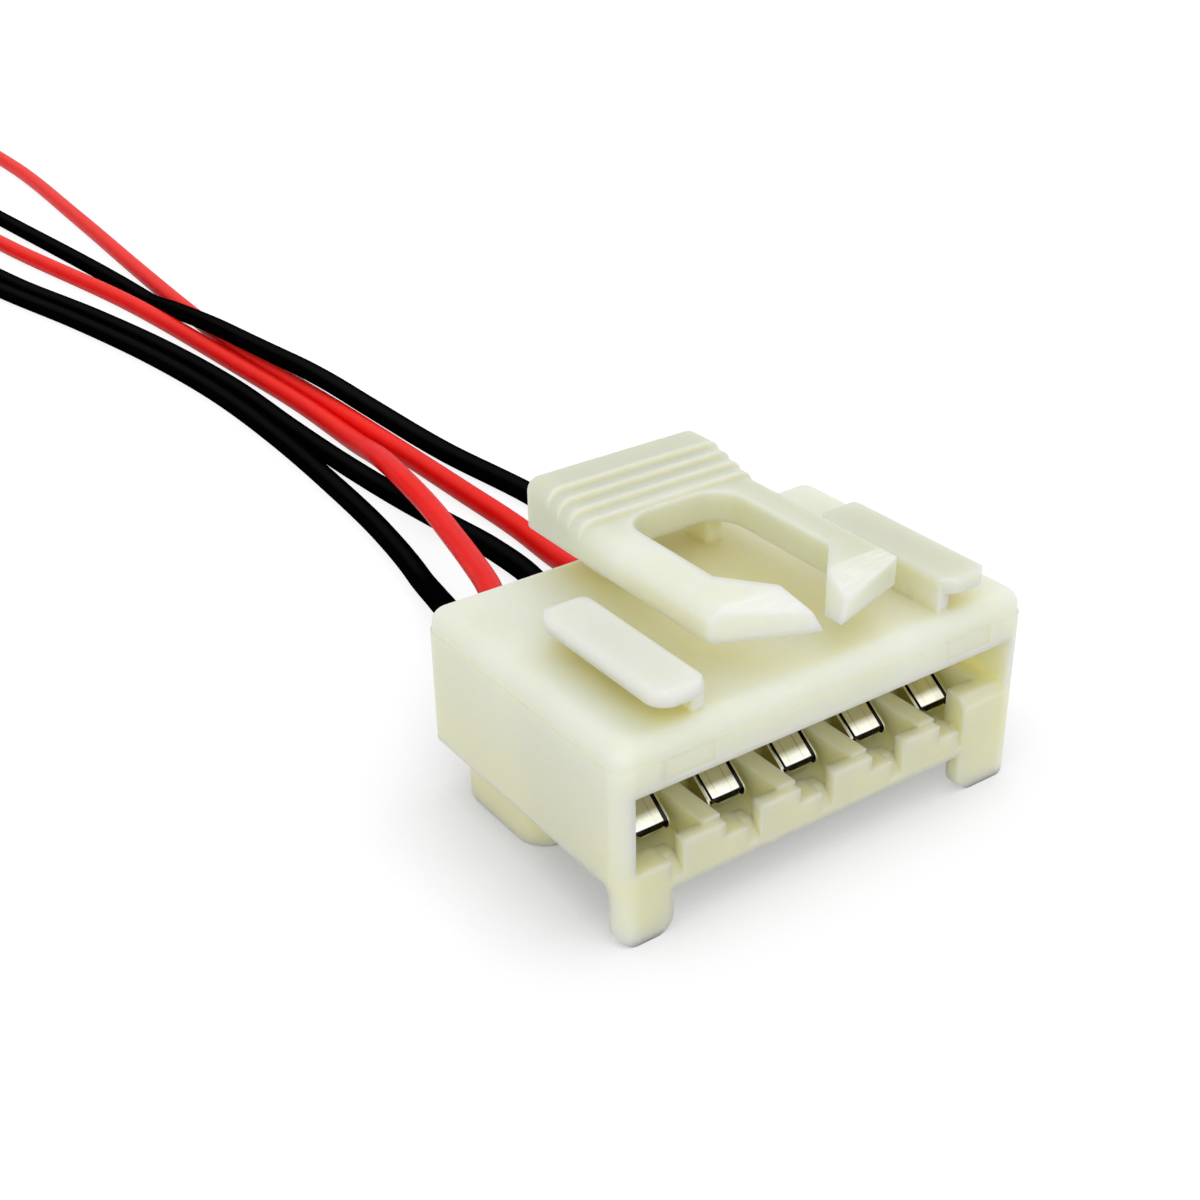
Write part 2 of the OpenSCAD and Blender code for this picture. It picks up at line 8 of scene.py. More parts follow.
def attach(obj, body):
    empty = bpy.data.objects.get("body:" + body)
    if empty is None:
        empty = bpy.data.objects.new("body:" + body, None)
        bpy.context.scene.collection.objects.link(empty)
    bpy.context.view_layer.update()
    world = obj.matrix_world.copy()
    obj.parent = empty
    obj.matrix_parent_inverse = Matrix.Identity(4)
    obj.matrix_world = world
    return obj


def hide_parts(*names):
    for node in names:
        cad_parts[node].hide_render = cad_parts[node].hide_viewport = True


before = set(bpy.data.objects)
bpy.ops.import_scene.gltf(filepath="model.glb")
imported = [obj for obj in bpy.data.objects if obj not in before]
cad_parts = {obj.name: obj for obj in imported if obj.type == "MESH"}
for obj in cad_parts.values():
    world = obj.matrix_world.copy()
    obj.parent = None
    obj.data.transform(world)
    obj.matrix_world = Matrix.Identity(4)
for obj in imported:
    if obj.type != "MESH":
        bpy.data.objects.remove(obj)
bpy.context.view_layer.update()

MM = 0.001

# Sizes of the CAD model in millimetres: depths run back from the front face, heights up from the surface

WAYS = 5
PITCH = 6.0
BODY_D = 22.1
PAD_OVER = 2.2
FRONT_Y = -(BODY_D + PAD_OVER) / 2
CAVITY_Z = 4.3
STRIP = 0.3
WIRE_R = 1.0
CORE_R = 0.55
TAIL_L = 5.0
BOX_REAR = 11.97
NECK_L = 1.0
CORE_CRIMP_L = 2.6
CRIMP_SPACE = 1.0
WIRE_CRIMP_L = 2.2
CRIMP_CLEAR = 0.05
CORE_CRIMP = BOX_REAR + NECK_L
WIRE_CRIMP = CORE_CRIMP + CORE_CRIMP_L + CRIMP_SPACE
CONTACT_REAR = WIRE_CRIMP + WIRE_CRIMP_L
CORE_FRONT = CORE_CRIMP - NECK_L / 2
WIRE_FRONT = WIRE_CRIMP - CRIMP_SPACE / 2
WIRE_Z = CAVITY_Z + STRIP + CRIMP_CLEAR + WIRE_R

# Contacts, as the photograph shows them: the leaf with its rolled nose, between two side plates

LEAF_W = 2.26
LEAF_SHIFT = 0.08
LEAF_EDGE, LEAF_EDGE_STEPS = 0.09, 3
PLATES = ((-1.6, -1.42), (1.3, 1.46))
NOSE_D, NOSE_Z = 3.54, 5.28
NOSE_R = 0.35
RISE, FALL, ROLL = math.radians(36), math.radians(35), math.radians(45)
RISE_L = 1.7
CROWN_R = 3.0
ARC_STEPS = 32
NARROW_FROM = math.radians(50)
NARROW_RATE, NARROW_MOST = 0.75, 0.85
BASE_FRONT = 4.2
BASE_INSET = 0.1
NECK_OVERLAP = 0.3
PLATE_SOFT = 0.06

# Side plates: heights over the cavity's floor, and where the slope starts and ends ahead of the box's rear

CHEEK_H, CHEEK_REAR_H = 2.9, 1.8
CHEEK_SLOPE = (2.2, 1.0)
CHEEK_DROP = 0.06
CHEEK_EASE = 0.1
EASE_FRONT, EASE_REAR = (0.12, 0.15), 0.3
CHEEK_STEPS = 16
CHEEK_SETBACK = 0.02
CHEEK_SOFT = 0.02

# Crimp barrels and their feet

CRIMP_FLARE = 0.08
CRIMP_STEPS, CRIMP_SIDES = 5, 36
SEAM_DEG = 4
FOOT_INSET = 0.02

# Strands of the stripped conductors: rows give a count and a share of the core's radius, waves vary the ends

STRAND_R = 0.105
STRAND_ROWS = ((6, 0.43), (12, 0.82))
ROW_TURN = 0.25
STRAND_SIDES, STRAND_STEPS = 6, 6
STRAND_TWIST = 0.9
STRAND_LOWEST = 0.1
STRAND_CUT, CUT_WAVE = 0.12, 1.7
TAIL_SPLAY, SPLAY_SPREAD, SPLAY_WAVE = 0.14, 0.6, 2.4
STRAND_SMOOTH = 60

# Rear block, a little proud of the CAD node so that no two faces meet: each ring has an inset and a height

BLOCK_HALF_W = 15.4
BLOCK_FRONT, BLOCK_REAR = 11.0, 20.8
BLOCK_R = 2.4
BLOCK_PROUD = 0.04
BLOCK_RINGS = ((0.3, 0.02), (0.1, 0.1), (0.0, 0.3), (0.0, CAVITY_Z + 0.4))
BLOCK_STEPS = 8

scene = bpy.context.scene
scene.view_settings.view_transform = "Standard"


def way_x(k):
    """Where a way lies along the row, counted from 1 at the left."""
    return (k - (WAYS + 1) / 2) * PITCH


# Camera, fitted to the photograph's edges: aim and distance in millimetres, clipping in metres

AZIMUTH, ELEVATION, TILT = math.radians(-34.53), math.radians(28.85), math.radians(-1.02)
AIM = Vector((-10.04, -1.1, 17.3))
DISTANCE = 106.91
SENSOR_W, LENS = 36, 51.88
CLIP_NEAR, CLIP_FAR = 0.002, 20


def make_camera():
    level = math.cos(ELEVATION)
    back = Vector((math.sin(AZIMUTH) * level, -math.cos(AZIMUTH) * level, math.sin(ELEVATION)))
    right = Vector((math.cos(AZIMUTH), math.sin(AZIMUTH), 0))
    up = back.cross(right)
    right, up = (math.cos(TILT) * right + math.sin(TILT) * up, math.cos(TILT) * up - math.sin(TILT) * right)
    data = bpy.data.cameras.new("camera")
    data.sensor_width = SENSOR_W
    data.lens = LENS
    data.clip_start = CLIP_NEAR
    data.clip_end = CLIP_FAR
    camera = bpy.data.objects.new("camera", data)
    scene.collection.objects.link(camera)
    camera.matrix_world = Matrix((right, up, back)).transposed().to_4x4()
    camera.location = (AIM + DISTANCE * back) * MM
    scene.camera = camera


make_camera()


# Node graphs

class Graph:
    """Builds a shader from short calls. A value is a number, a colour or the output of another node."""

    def __init__(self, tree):
        self.nodes = tree.nodes
        self.links = tree.links
        self.nodes.clear()

    def add(self, kind, inputs=None, **settings):
        node = self.nodes.new("ShaderNode" + kind)
        for key, value in settings.items():
            setattr(node, key, value)
        for key, value in (inputs or {}).items():
            if isinstance(value, bpy.types.NodeSocket):
                self.links.new(value, node.inputs[key])
            else:
                node.inputs[key].default_value = value
        return node

    def maths(self, operation, *values):
        return self.add("Math", dict(enumerate(values)), operation=operation).outputs[0]

    def times(self, product, *others):
        for value in others:
            product = self.maths("MULTIPLY", product, value)
        return product

    def dot(self, a, b):
        return self.add("VectorMath", {0: a, 1: b}, operation="DOT_PRODUCT").outputs["Value"]

    def split(self, vector):
        return self.add("SeparateXYZ", {0: vector}).outputs

    def place(self):
        return self.add("TexCoord").outputs["Object"]

    def stretched(self, scale):
        return self.add("VectorMath", {0: self.place(), 1: scale}, operation="MULTIPLY").outputs[0]

    def ramp(self, value, low, high, out_low=0.0, out_high=1.0):
        node = self.add("MapRange", {"Value": value, "From Min": low, "From Max": high,
                                     "To Min": out_low, "To Max": out_high}, clamp=True)
        return node.outputs["Result"]

    def fade(self, value, start, end, out_low=0.0, out_high=1.0):
        """A ramp between two places in millimetres."""
        return self.ramp(value, start * MM, end * MM, out_low, out_high)

    def mix(self, colour, other, *factors):
        """A colour turned towards another, as far as the factors multiplied together say."""
        return self.add("Mix", {0: self.times(*factors), 6: colour, 7: other}, data_type="RGBA").outputs[2]

    def noise(self, vector, scale, detail=2.0, roughness=0.5):
        node = self.add("TexNoise", {"Vector": vector, "Scale": scale, "Detail": detail,
                                     "Roughness": roughness})
        return node.outputs["Fac"]


def new_material(name):
    material = bpy.data.materials.new(name)
    material.use_nodes = True
    return material, Graph(material.node_tree)


def srgb(r, g, b):
    def linear(v):
        v /= 255
        return v / 12.92 if v <= 0.04045 else ((v + 0.055) / 1.055) ** 2.4
    return (linear(r), linear(g), linear(b), 1.0)


WHITE = (1, 1, 1, 1)
RAY_SAMPLES = 4

# Nylon: reach of the painted edge highlights, the painted paler rims, the painted deep shade and the light
# scattered inside, in millimetres

EDGE_R, RIM_R = 0.6, 2.2
SHADE_REACH = 7
SCATTER = 3.5

# Zones of the housing with tints, each bound from no tint to full tint, in millimetres; the comb and the roof
# under the lever take painted shade

LOW_Z, FOOT_Z = (13.5, 4), (0.5, 4)
LEVER_X, LEVER_Y, LEVER_Z = (0, 6), (1, 7), (15, 16.5)
COMB_X, COMB_Y, COMB_Z = (15.5, 15), (-7, -8), (7.5, 7)
POOL_X, POOL_Y, POOL_TOP, POOL_BOTTOM = (7, 4), (-8, -5), (15, 14.7), (13, 14)
BLOCK_Y, BLOCK_Z = (-2, -1), (4.1, 3.9)
HOOK_Z = (17.3, 17.5)
INSIDE_Z = (13, 12)


def nylon_zones(graph, x, y, z):
    """The low walls, the lever, the comb, the roof under the lever and the rear block; the comb and the roof
    under the lever are masks of painted shade.
    """
    aside = graph.maths("ABSOLUTE", x)
    low = graph.times(graph.fade(z, *LOW_Z), graph.fade(z, *FOOT_Z, 0.35, 0.8))
    lever = graph.maths("MAXIMUM", graph.fade(x, *LEVER_X), graph.fade(y, *LEVER_Y))
    lever = graph.times(lever, graph.fade(z, *LEVER_Z))
    comb = graph.times(graph.fade(z, *COMB_Z), graph.fade(y, *COMB_Y), graph.fade(aside, *COMB_X))
    lever_shade = graph.times(graph.fade(z, *POOL_TOP), graph.fade(z, *POOL_BOTTOM), graph.fade(aside, *POOL_X),
                       graph.fade(y, *POOL_Y))
    block = graph.times(graph.fade(z, *BLOCK_Z), graph.fade(y, *BLOCK_Y))
    return low, lever, comb, lever_shade, block


def nylon_material():
    """Natural nylon: milky and translucent, yellower where it lies deep with painted shade, pale on its edges
    with painted highlights, and a faint painted glow inside.
    """
    material, graph = new_material("nylon_natural")
    place = graph.place()
    x, y, z = graph.split(place)
    low, lever, comb, lever_shade, block = nylon_zones(graph, x, y, z)
    geometry = graph.add("NewGeometry").outputs
    rounded = graph.add("Bevel", {"Radius": EDGE_R * MM}, samples=RAY_SAMPLES).outputs[0]
    edge_highlight = graph.ramp(graph.dot(rounded, geometry["Normal"]), 0.995, 0.80)
    rim = graph.add("Bevel", {"Radius": RIM_R * MM}, samples=RAY_SAMPLES).outputs[0]
    rim = graph.ramp(graph.dot(rim, geometry["Normal"]), 0.99, 0.75)
    shade = graph.add("AmbientOcclusion", {"Distance": SHADE_REACH * MM}, samples=RAY_SAMPLES,
                      only_local=True).outputs["AO"]
    deep_shade = graph.ramp(shade, 0.75, 0.1)
    # Painted glow: a faint yellow light given off in the deep hollows inside the housing
    inner_glow = graph.times(graph.ramp(shade, 0.3, 0.0, 0.0, 0.16), graph.fade(z, *INSIDE_Z))
    free = graph.times(graph.ramp(shade, 0.3, 0.7), graph.maths("SUBTRACT", 1.0, graph.times(comb, 0.75)))
    slope = graph.split(geometry["True Normal"])
    hook = graph.times(graph.ramp(slope[1], -0.15, -0.25), graph.ramp(slope[2], 0.85, 0.92),
                       graph.fade(z, *HOOK_Z))
    scuff_and_glint = graph.noise(graph.stretched((500, 2600, 2600)), 1.0, 3.0, 0.6)
    cloud = graph.noise(place, 140, 3.0)
    grain = graph.noise(place, 2600, 2.0)
    speck = graph.ramp(graph.noise(place, 900, 0.0), 0.82, 0.86)
    colour = graph.mix(srgb(235, 238, 224), srgb(230, 233, 215), graph.ramp(cloud, 0.3, 0.7))
    colour = graph.mix(colour, srgb(210, 213, 193), lever)
    colour = graph.mix(colour, srgb(231, 230, 187), low)
    colour = graph.mix(colour, srgb(240, 234, 178), block, 0.6)
    # Painted shade on the roof under the lever
    colour = graph.mix(colour, srgb(232, 226, 160), lever_shade, 0.6)
    # Painted shade: yellower and darker where ambient occlusion finds hollows and recesses
    colour = graph.mix(colour, srgb(235, 229, 175), deep_shade)
    # Painted shade: a flatter, yellower tone over the comb in the mouth
    colour = graph.mix(colour, srgb(222, 221, 186), comb, 0.6)
    # Painted paler rims: a broad painted highlight near the edges
    colour = graph.mix(colour, srgb(236, 241, 236), rim, free, 0.28)
    # Painted highlights along the rounded edges, kept off the deep hollows
    colour = graph.mix(colour, srgb(250, 251, 236), edge_highlight, free, 0.75)
    # The hook ramps: real scuffs, whitened with a painted highlight
    colour = graph.mix(colour, srgb(247, 250, 242), hook, graph.ramp(scuff_and_glint, 0.3, 0.7, 0.25, 0.7))
    colour = graph.mix(colour, srgb(150, 132, 96), speck, 0.06)
    rough = graph.maths("SUBTRACT", graph.ramp(grain, 0.3, 0.7, 0.30, 0.42), graph.times(hook, 0.14))
    relief = graph.maths("ADD", graph.times(grain, 0.5), graph.times(scuff_and_glint, 0.5, hook))
    bump = graph.add("Bump", {"Strength": 0.18, "Distance": 0.02 * MM, "Height": relief, "Normal": rounded})
    shader = graph.add("BsdfPrincipled", {
        "Base Color": colour, "Roughness": rough, "IOR": 1.53, "Normal": bump.outputs[0],
        "Emission Color": srgb(226, 216, 140), "Emission Strength": inner_glow,
        "Subsurface Weight": 1.0, "Subsurface Scale": SCATTER * MM, "Subsurface Radius": (1.0, 0.95, 0.6)})
    graph.add("OutputMaterial", {"Surface": shader.outputs[0]})
    return material


# Plated strip: the nose's depth, its draw lines across the leaf and the heights where its painted reflection
# and painted highlight turn

NOSE_Y = (FRONT_Y + 6, FRONT_Y + 5)
DRAW_LINES = (-0.7, 0.42)
DRAW_LINE_HALF = (0.06, 0.02)
LEAF_X = (LEAF_W / 2 + 0.05, LEAF_W / 2 + 0.02)
INNER_X, OUTER_X = (0, 0.5), (0, -0.5)
UPPER_Z, SHINE_Z = (5.95, 6.25), (6.2, 5.9)


def tin_material():
    """Bright plated strip with draw lines along each leaf, dark where it turns down into the cavity; the dark
    there, the beige upper leaf and the olive and black side faces are painted reflections, and a white glow
    above the nose is a painted highlight.
    """
    material, graph = new_material("tin_strip")
    place = graph.place()
    x, y, z = graph.split(place)
    across = graph.maths("WRAP", x, PITCH / 2 * MM, -PITCH / 2 * MM)
    drawn = graph.noise(graph.stretched((2200, 60, 60)), 1.0, 3.0, 0.6)
    lines = 0.0
    for line_x in DRAW_LINES:
        off = graph.maths("ABSOLUTE", graph.maths("SUBTRACT", across, line_x * MM))
        lines = graph.maths("MAXIMUM", graph.fade(off, *DRAW_LINE_HALF), lines)
    lines = graph.times(lines, graph.ramp(drawn, 0.3, 0.6, 0.15, 0.55))
    facing = graph.split(graph.add("NewGeometry").outputs["Normal"])
    nose = graph.fade(y, *NOSE_Y)
    leaf = graph.fade(graph.maths("ABSOLUTE", graph.maths("ADD", across, LEAF_SHIFT * MM)), *LEAF_X)
    under = graph.times(graph.ramp(facing[2], 0.72, 0.60), graph.ramp(facing[2], -0.35, -0.20), leaf, nose)
    side = graph.times(graph.ramp(graph.maths("ABSOLUTE", facing[0]), 0.5, 0.7), nose)
    inner = graph.times(side, graph.fade(across, *INNER_X))
    outer = graph.times(side, graph.fade(across, *OUTER_X))
    upper_reflection = graph.times(graph.fade(z, *UPPER_Z), nose)
    # Painted highlight: a white glow on the leaf just above the nose
    shine = graph.times(leaf, nose, graph.fade(z, *SHINE_Z), graph.ramp(facing[2], 0.62, 0.74, 0.0, 0.55))
    cloud = graph.noise(place, 700, 2.0)
    colour = graph.mix(srgb(244, 243, 240), srgb(226, 223, 216), graph.ramp(cloud, 0.35, 0.7))
    # Painted reflection: the upper leaf takes the housing's beige
    colour = graph.mix(colour, srgb(204, 198, 176), upper_reflection)
    colour = graph.mix(colour, srgb(92, 86, 74), lines)
    # Painted reflection: olive on the left side faces near the nose
    colour = graph.mix(colour, srgb(158, 149, 100), outer)
    # Painted shade and dark reflection: black under the nose and on the right side faces
    colour = graph.mix(colour, srgb(24, 22, 19), graph.maths("MAXIMUM", under, inner))
    bump = graph.add("Bump", {"Strength": 0.12, "Distance": 0.01 * MM, "Height": drawn})
    shader = graph.add("BsdfPrincipled", {
        "Base Color": colour, "Metallic": 0.75, "Roughness": graph.ramp(drawn, 0.3, 0.75, 0.10, 0.22),
        "Emission Color": WHITE, "Emission Strength": shine, "Normal": bump.outputs[0]})
    graph.add("OutputMaterial", {"Surface": shader.outputs[0]})
    return material


def copper_material():
    """Bare copper, a little uneven in tone and gloss."""
    material, graph = new_material("copper_strand")
    cloud = graph.noise(graph.place(), 900, 2.0)
    colour = graph.mix(srgb(216, 140, 96), srgb(184, 106, 66), graph.ramp(cloud, 0.35, 0.7))
    shader = graph.add("BsdfPrincipled", {
        "Base Color": colour, "Metallic": 1.0, "Roughness": graph.ramp(cloud, 0.3, 0.7, 0.22, 0.38)})
    graph.add("OutputMaterial", {"Surface": shader.outputs[0]})
    return material


# Insulation: the way its painted highlight faces

LIGHT_WAY = (-0.30, -0.35, 0.89)


def pvc_material(name, main, other, lit, shaded, gloss):
    """Soft insulation: paler along its top with a painted highlight, deeper on its underside with painted
    shade.
    """
    material, graph = new_material(name)
    place = graph.place()
    cloud = graph.noise(place, 260, 3.0)
    grain = graph.noise(place, 3200, 2.0)
    toward_light = graph.dot(graph.add("NewGeometry").outputs["Normal"], LIGHT_WAY)
    colour = graph.mix(srgb(*main), srgb(*other), graph.ramp(cloud, 0.35, 0.7))
    # Painted highlight on the top, painted shade on the underside
    colour = graph.mix(colour, srgb(*lit), graph.ramp(toward_light, 0.82, 1.0))
    colour = graph.mix(colour, srgb(*shaded), graph.ramp(toward_light, 0.15, -0.5))
    bump = graph.add("Bump", {"Strength": 0.08, "Distance": 0.02 * MM, "Height": grain})
    shader = graph.add("BsdfPrincipled", {
        "Base Color": colour, "Roughness": graph.ramp(grain, 0.3, 0.7, 0.32, 0.44), "IOR": 1.5,
        "Specular IOR Level": gloss, "Normal": bump.outputs[0]})
    graph.add("OutputMaterial", {"Surface": shader.outputs[0]})
    return material


NYLON = nylon_material()
TIN = tin_material()
COPPER = copper_material()
RED = pvc_material("pvc_red", main=(247, 18, 12), other=(236, 13, 9), lit=(255, 58, 46), shaded=(196, 8, 6),
                   gloss=0.05)
BLACK = pvc_material("pvc_black", main=(4, 4, 4), other=(2, 2, 2), lit=(24, 24, 25), shaded=(1, 1, 1),
                     gloss=0.0)


# Helpers for meshes

def settle(obj):
    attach(obj, "root")
    return obj


def new_mesh(name, bm, material, smooth_angle=35):
    bmesh.ops.recalc_face_normals(bm, faces=bm.faces)
    mesh = bpy.data.meshes.new(name)
    bm.to_mesh(mesh)
    bm.free()
    mesh.polygons.foreach_set("use_smooth", [True] * len(mesh.polygons))
    mesh.set_sharp_from_angle(angle=math.radians(smooth_angle))
    obj = bpy.data.objects.new(name, mesh)
    scene.collection.objects.link(obj)
    mesh.materials.append(material)
    return obj


def sweep(bm, sections):
    """Skins a row of rings with the same number of points and caps both ends."""
    rings = [[bm.verts.new(p * MM) for p in ring] for ring in sections]
    count = len(rings[0])
    for a, b in zip(rings, rings[1:]):
        for i in range(count):
            j = (i + 1) % count
            bm.faces.new((a[i], a[j], b[j], b[i]))
    bm.faces.new(rings[0])
    bm.faces.new(rings[-1])


def arc(start, end, steps):
    """Angles in even steps from start to end."""
    return [start + (end - start) * i / steps for i in range(steps + 1)]


def rounded_bar(half_w, half_h, r, steps):
    """Points round a rectangle with rounded corners, from its middle."""
    points = []
    for side, end, start in ((1, 1, 0), (-1, 1, 90), (-1, -1, 180), (1, -1, 270)):
        for a in arc(start, start + 90, steps):
            a = math.radians(a)
            points.append((side * (half_w - r) + r * math.cos(a), end * (half_h - r) + r * math.sin(a)))
    return points


# Wires along the routes of the CAD model, in millimetres

ROUTES = [
    [(-11.6, 14, 5.6), (-8.9, 19.5, 5), (-6.6, 24.5, 3.7), (-4.7, 29.5, 2), (-3, 36, 1), (-1.5, 45, 1),
     (-0.4, 57, 1), (0.3, 70, 1), (0.3, 84, 1), (-0.9, 98, 1), (-3.6, 115, 1), (-7.1, 132, 1),
     (-9.8, 155, 1), (-10.3, 190, 1), (-10.3, 206, 1)],
    [(-6, 15, 5.6), (-4.7, 20, 5.3), (-2.8, 25, 4.9), (-1.2, 30, 4.3), (0.5, 36, 3.7), (2.2, 43, 3.3),
     (3.4, 50, 3.1), (4.6, 56, 2.4), (5.7, 63, 1.2), (6.1, 74, 1), (5.5, 90, 1), (4, 115, 1),
     (-0.7, 150, 1), (-3.3, 190, 1), (-3.3, 208, 1)],
    [(0, 14, 5), (1.1, 19, 3.4), (2.7, 24, 1.8), (4.3, 29, 1), (4.6, 36, 1), (3.9, 43, 1), (3.2, 50, 1),
     (2.6, 60, 1), (2.4, 70, 1), (2.4, 84, 1), (1.3, 98, 1), (-1.3, 115, 1), (-4.8, 132, 1),
     (-7.3, 190, 1), (-7.3, 207, 1)],
    [(6, 15, 5.1), (6.6, 20, 3.8), (7.3, 26, 2.1), (8, 31, 1.1), (8.5, 38, 1), (8.5, 48, 1),
     (8.4, 60, 1), (8.2, 72, 1), (7.8, 84, 1), (7.6, 96, 1), (8.1, 108, 1), (9.3, 126, 1),
     (11.5, 155, 1), (13.5, 190, 1), (13.5, 208, 1)],
    [(11.9, 15, 5.2), (12.5, 20, 4.1), (13.1, 26, 2.4), (13.4, 32, 1.1), (13.1, 44, 1), (11.6, 57, 1.1),
     (10.1, 69, 2.1), (9.1, 76, 2.85), (8.3, 82, 3.1), (7.4, 90, 3.05), (6.7, 98, 2.9), (6.2, 108, 2.05),
     (6, 117, 1), (1.7, 190, 1), (1.7, 207, 1)],
]


def route(k):
    start = [(way_x(k), FRONT_Y + WIRE_FRONT, WIRE_Z), (way_x(k), FRONT_Y + BODY_D, WIRE_Z)]
    return [Vector(p) for p in start + ROUTES[k - 1]]


def tangent(points, i):
    """The way a wire runs at one of its points: straight back at both ends, level at each crest and dip."""
    if i < 2 or i > len(points) - 3:
        return Vector((0, 1, 0))
    before, after = points[i] - points[i - 1], points[i + 1] - points[i]
    way = (before.normalized() * after.length + after.normalized() * before.length).normalized()
    if before.z * after.z <= 0:
        way.z = 0
    return way.normalized()


def make_wire(k):
    """The insulation of one wire as a smooth curve, with the points and the length of its route."""
    points = route(k)
    curve = bpy.data.curves.new("wire_%d_insulation" % k, "CURVE")
    curve.dimensions = "3D"
    curve.bevel_depth = WIRE_R * MM
    curve.bevel_resolution = 6
    curve.resolution_u = 10
    curve.use_fill_caps = True
    spline = curve.splines.new("BEZIER")
    spline.bezier_points.add(len(points) - 1)
    for i, p in enumerate(points):
        way = tangent(points, i)
        knot = spline.bezier_points[i]
        knot.handle_left_type = knot.handle_right_type = "FREE"
        knot.co = p * MM
        ahead = (points[i + 1] - p).length if i + 1 < len(points) else 1
        behind = (p - points[i - 1]).length if i else 1
        knot.handle_right = (p + way * ahead / 3) * MM
        knot.handle_left = (p - way * behind / 3) * MM
    obj = bpy.data.objects.new("wire_%d_insulation" % k, curve)
    scene.collection.objects.link(obj)
    curve.materials.append(RED if k % 2 == 0 else BLACK)
    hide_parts("wire_%d" % k)
    settle(obj)
    length = sum((b - a).length for a, b in zip(points, points[1:]))
    return obj, points, length


def strand_places():
    """Where the strands lie in the core: one in the middle and two rows round it."""
    places = [(0.0, 0.0)]
    for count, share in STRAND_ROWS:
        for i in range(count):
            turn = 2 * math.pi * (i + ROW_TURN * share) / count
            places.append((share * CORE_R * math.cos(turn), share * CORE_R * math.sin(turn)))
    return places


def strand_rings(start, length, splay, n, px, pz):
    """Rings along one strand, which twists, spreads towards its end and stops a little short of it."""
    spread = splay * (1 + SPLAY_SPREAD * math.sin(n * SPLAY_WAVE))
    cut = STRAND_CUT * (1 + math.sin(n * CUT_WAVE))
    sides = [2 * math.pi * i / STRAND_SIDES for i in range(STRAND_SIDES)]
    rings = []
    for step in range(STRAND_STEPS + 1):
        t = step / STRAND_STEPS
        turn = STRAND_TWIST * t
        wide = 1 + spread * t * t
        x = (px * math.cos(turn) - pz * math.sin(turn)) * wide
        z = (px * math.sin(turn) + pz * math.cos(turn)) * wide
        reach = length * t - (cut if step == STRAND_STEPS else 0)
        middle = start + Vector((x, reach, max(z, STRAND_LOWEST - start.z)))
        rings.append([middle + STRAND_R * Vector((math.cos(a), 0, math.sin(a))) for a in sides])
    return rings


def make_strands(k, end):
    """The stripped conductor at both ends of a wire: nineteen fine strands with a slight twist."""
    bm = bmesh.new()
    crimped = Vector((way_x(k), FRONT_Y + CORE_FRONT, WIRE_Z))
    for start, length, splay in ((crimped, WIRE_FRONT - CORE_FRONT, 0.0), (end, TAIL_L, TAIL_SPLAY)):
        for n, (px, pz) in enumerate(strand_places()):
            sweep(bm, strand_rings(start, length, splay, n, px, pz))
    obj = new_mesh("core_%d_strands" % k, bm, COPPER, STRAND_SMOOTH)
    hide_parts("core_%d" % k)
    return settle(obj)


for k in range(1, WAYS + 1):
    wire, points, length = make_wire(k)
    strands = make_strands(k, points[-1])


# Contacts: one stamped strip each, with a rolled nose, a sprung leaf, side plates and two crimps

def leaf_line():
    """Points along the middle of the leaf, each with the slope of the strip there."""
    line = [(NOSE_D - NOSE_R * math.sin(slope), NOSE_Z + NOSE_R * math.cos(slope), slope)
            for slope in arc(math.pi + ROLL, RISE, ARC_STEPS)]
    depth, height = line[-1][0] + RISE_L * math.cos(RISE), line[-1][1] + RISE_L * math.sin(RISE)
    line += [(depth + CROWN_R * (math.sin(RISE) - math.sin(slope)),
              height + CROWN_R * (math.cos(slope) - math.cos(RISE)), slope)
             for slope in arc(RISE, -FALL, ARC_STEPS)]
    depth, height, slope = line[-1]
    base = CAVITY_Z + STRIP / 2
    line.append((depth + (height - base) / math.tan(FALL), base, slope))
    return line


def add_leaf(bm, x0):
    """The sprung leaf, which narrows with round corners where it rolls under the nose."""
    rings = []
    for depth, height, slope in leaf_line():
        under = max(0.0, slope - NARROW_FROM)
        half_w = LEAF_W / 2 - min(NARROW_MOST, NARROW_RATE * (1 - math.cos(under)))
        out = Vector((0, -math.sin(slope), math.cos(slope)))
        middle = Vector((x0 - LEAF_SHIFT, FRONT_Y + depth, height))
        section = rounded_bar(half_w, STRIP / 2, LEAF_EDGE, LEAF_EDGE_STEPS)
        rings.append([middle + Vector((px, 0, 0)) + out * pt for px, pt in section])
    sweep(bm, rings)


def rectangle(front, rear, bottom, top):
    return [(front, bottom), (rear, bottom), (rear, top), (front, top)]


def add_plate(bm, outline, x0, x1, soft=PLATE_SOFT):
    """A flat plate: an outline in depth and height, drawn across from x0 to x1, with softened rims."""
    before = [Vector(p) for p in outline[-1:] + outline[:-1]]
    here = [Vector(p) for p in outline]
    after = here[1:] + here[:1]
    area = sum(a.x * p.y - p.x * a.y for a, p in zip(before, here))
    turn = 1 if area > 0 else -1

    def ring(x, inset):
        points = []
        for a, p, b in zip(before, here, after):
            side = ((p - a).normalized() + (b - p).normalized()).normalized()
            inward = Vector((-side.y, side.x))
            points.append(p + inward * inset)
        return [Vector((x, FRONT_Y + p.x, p.y)) for p in points]

    rim = ((0, 1), (0.6, 0.2), (1, 0))
    sweep(bm, [ring(x0 + soft * across, soft * inset * turn) for across, inset in rim]
          + [ring(x1 - soft * across, soft * inset * turn) for across, inset in reversed(rim)])


